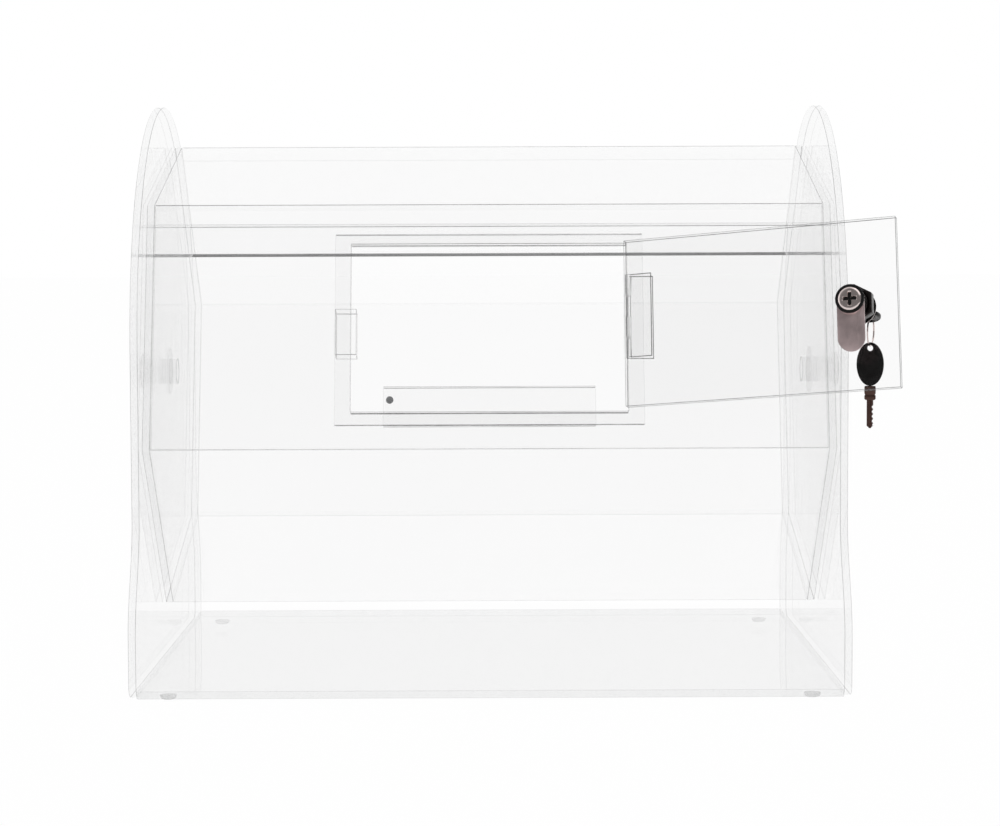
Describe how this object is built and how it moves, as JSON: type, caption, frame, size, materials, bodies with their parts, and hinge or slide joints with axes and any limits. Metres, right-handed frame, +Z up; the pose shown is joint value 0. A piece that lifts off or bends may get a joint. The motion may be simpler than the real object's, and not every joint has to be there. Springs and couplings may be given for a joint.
{
  "type": "raffle drum",
  "caption": "Clear acrylic drum that turns between two arched end panels on a base; a hinged door with a cam lock opens for putting tickets in and drawing them.",
  "frame": {"origin": "on the table, under the middle of the stand", "axes": "+X to the right along the drum axis seen from the front, -Y towards the front where the door is, +Z up"},
  "size_m": [0.5531, 0.4556, 0.427],
  "materials": {
    "clear_acrylic": "clear, polished",
    "clear_bumper": "clear, soft, half gloss",
    "grey_rubber": "satin",
    "thin_washer": "frosted",
    "clear_pin": "clear",
    "lock_metal": "nickel plated, slightly dull",
    "nut_metal": "dull plated",
    "plug_metal": "nickel plated",
    "cam_steel": "satin",
    "key_steel": "satin",
    "black_plastic": "half gloss",
    "ring_wire": "polished"
  },
  "bodies": {
    "stand": {"left_end_panel": "clear_acrylic", "right_end_panel": "clear_acrylic", "base_plate": "clear_acrylic", "rear_brace": "clear_acrylic", "bumper_feet": "clear_bumper"},
    "drum": {"left_drum_end": "clear_acrylic", "right_drum_end": "clear_acrylic", "top_wall": "clear_acrylic", "upper_rear_wall": "clear_acrylic", "lower_rear_wall": "clear_acrylic", "bottom_wall": "clear_acrylic", "lower_front_wall": "clear_acrylic", "door_wall": "clear_acrylic", "door_frame": "clear_acrylic", "door_stop": "clear_acrylic", "stop_bumper": "grey_rubber", "lock_strike": "clear_acrylic", "left_axle": "clear_acrylic", "right_axle": "clear_acrylic", "left_washer": "thin_washer", "right_washer": "thin_washer", "left_knob": "clear_acrylic", "right_knob": "clear_acrylic", "hinge_wall_leaf": "clear_acrylic", "hinge_pin": "clear_pin"},
    "door": {"hinge_door_leaf": "clear_acrylic", "door_panel": "clear_acrylic", "lock_barrel": "lock_metal", "lock_nut": "nut_metal"},
    "lock_turning_parts": {"lock_plug": "plug_metal", "lock_cam": "cam_steel", "cam_cap_nut": "plug_metal"},
    "key": {"key_blade": "key_steel", "key_head": "black_plastic"},
    "ring": {"key_ring": "ring_wire"},
    "spare_key": {"spare_key_blade": "key_steel", "spare_key_head": "black_plastic"}
  },
  "joints": [
    {"name": "drum_spin", "type": "hinge", "parent": "stand", "child": "drum", "pos_m": [0, 0, 0.224], "axis": [-1, 0, 0], "range_deg": [-20, 100]},
    {"name": "door_swing", "type": "hinge", "parent": "drum", "child": "door", "pos_m": [0.09885, -0.15262, 0.26887], "axis": [0, 0.2487, 0.9686], "range_deg": [-160.4, 3]},
    {"name": "lock_turn", "type": "hinge", "parent": "door", "child": "lock_turning_parts", "pos_m": [0.25636, -0.21205, 0.27617], "axis": [-0.3355, -0.9125, 0.2343], "range_deg": [0, 90]},
    {"name": "key_pull", "type": "slide", "parent": "lock_turning_parts", "child": "key", "axis": [0.3355, 0.9125, -0.2343], "range_m": [0, 0.022]},
    {"name": "ring_swing", "type": "hinge", "parent": "key", "child": "ring", "pos_m": [0.2688, -0.1782, 0.26748], "axis": [0.3355, 0.9125, -0.2343], "range_deg": [-6, 8]},
    {"name": "spare_key_swing", "type": "hinge", "parent": "ring", "child": "spare_key", "pos_m": [0.27035, -0.17301, 0.24797], "axis": [0.3492, 0.937, 0.0008], "range_deg": [-8, 8]}
  ]
}
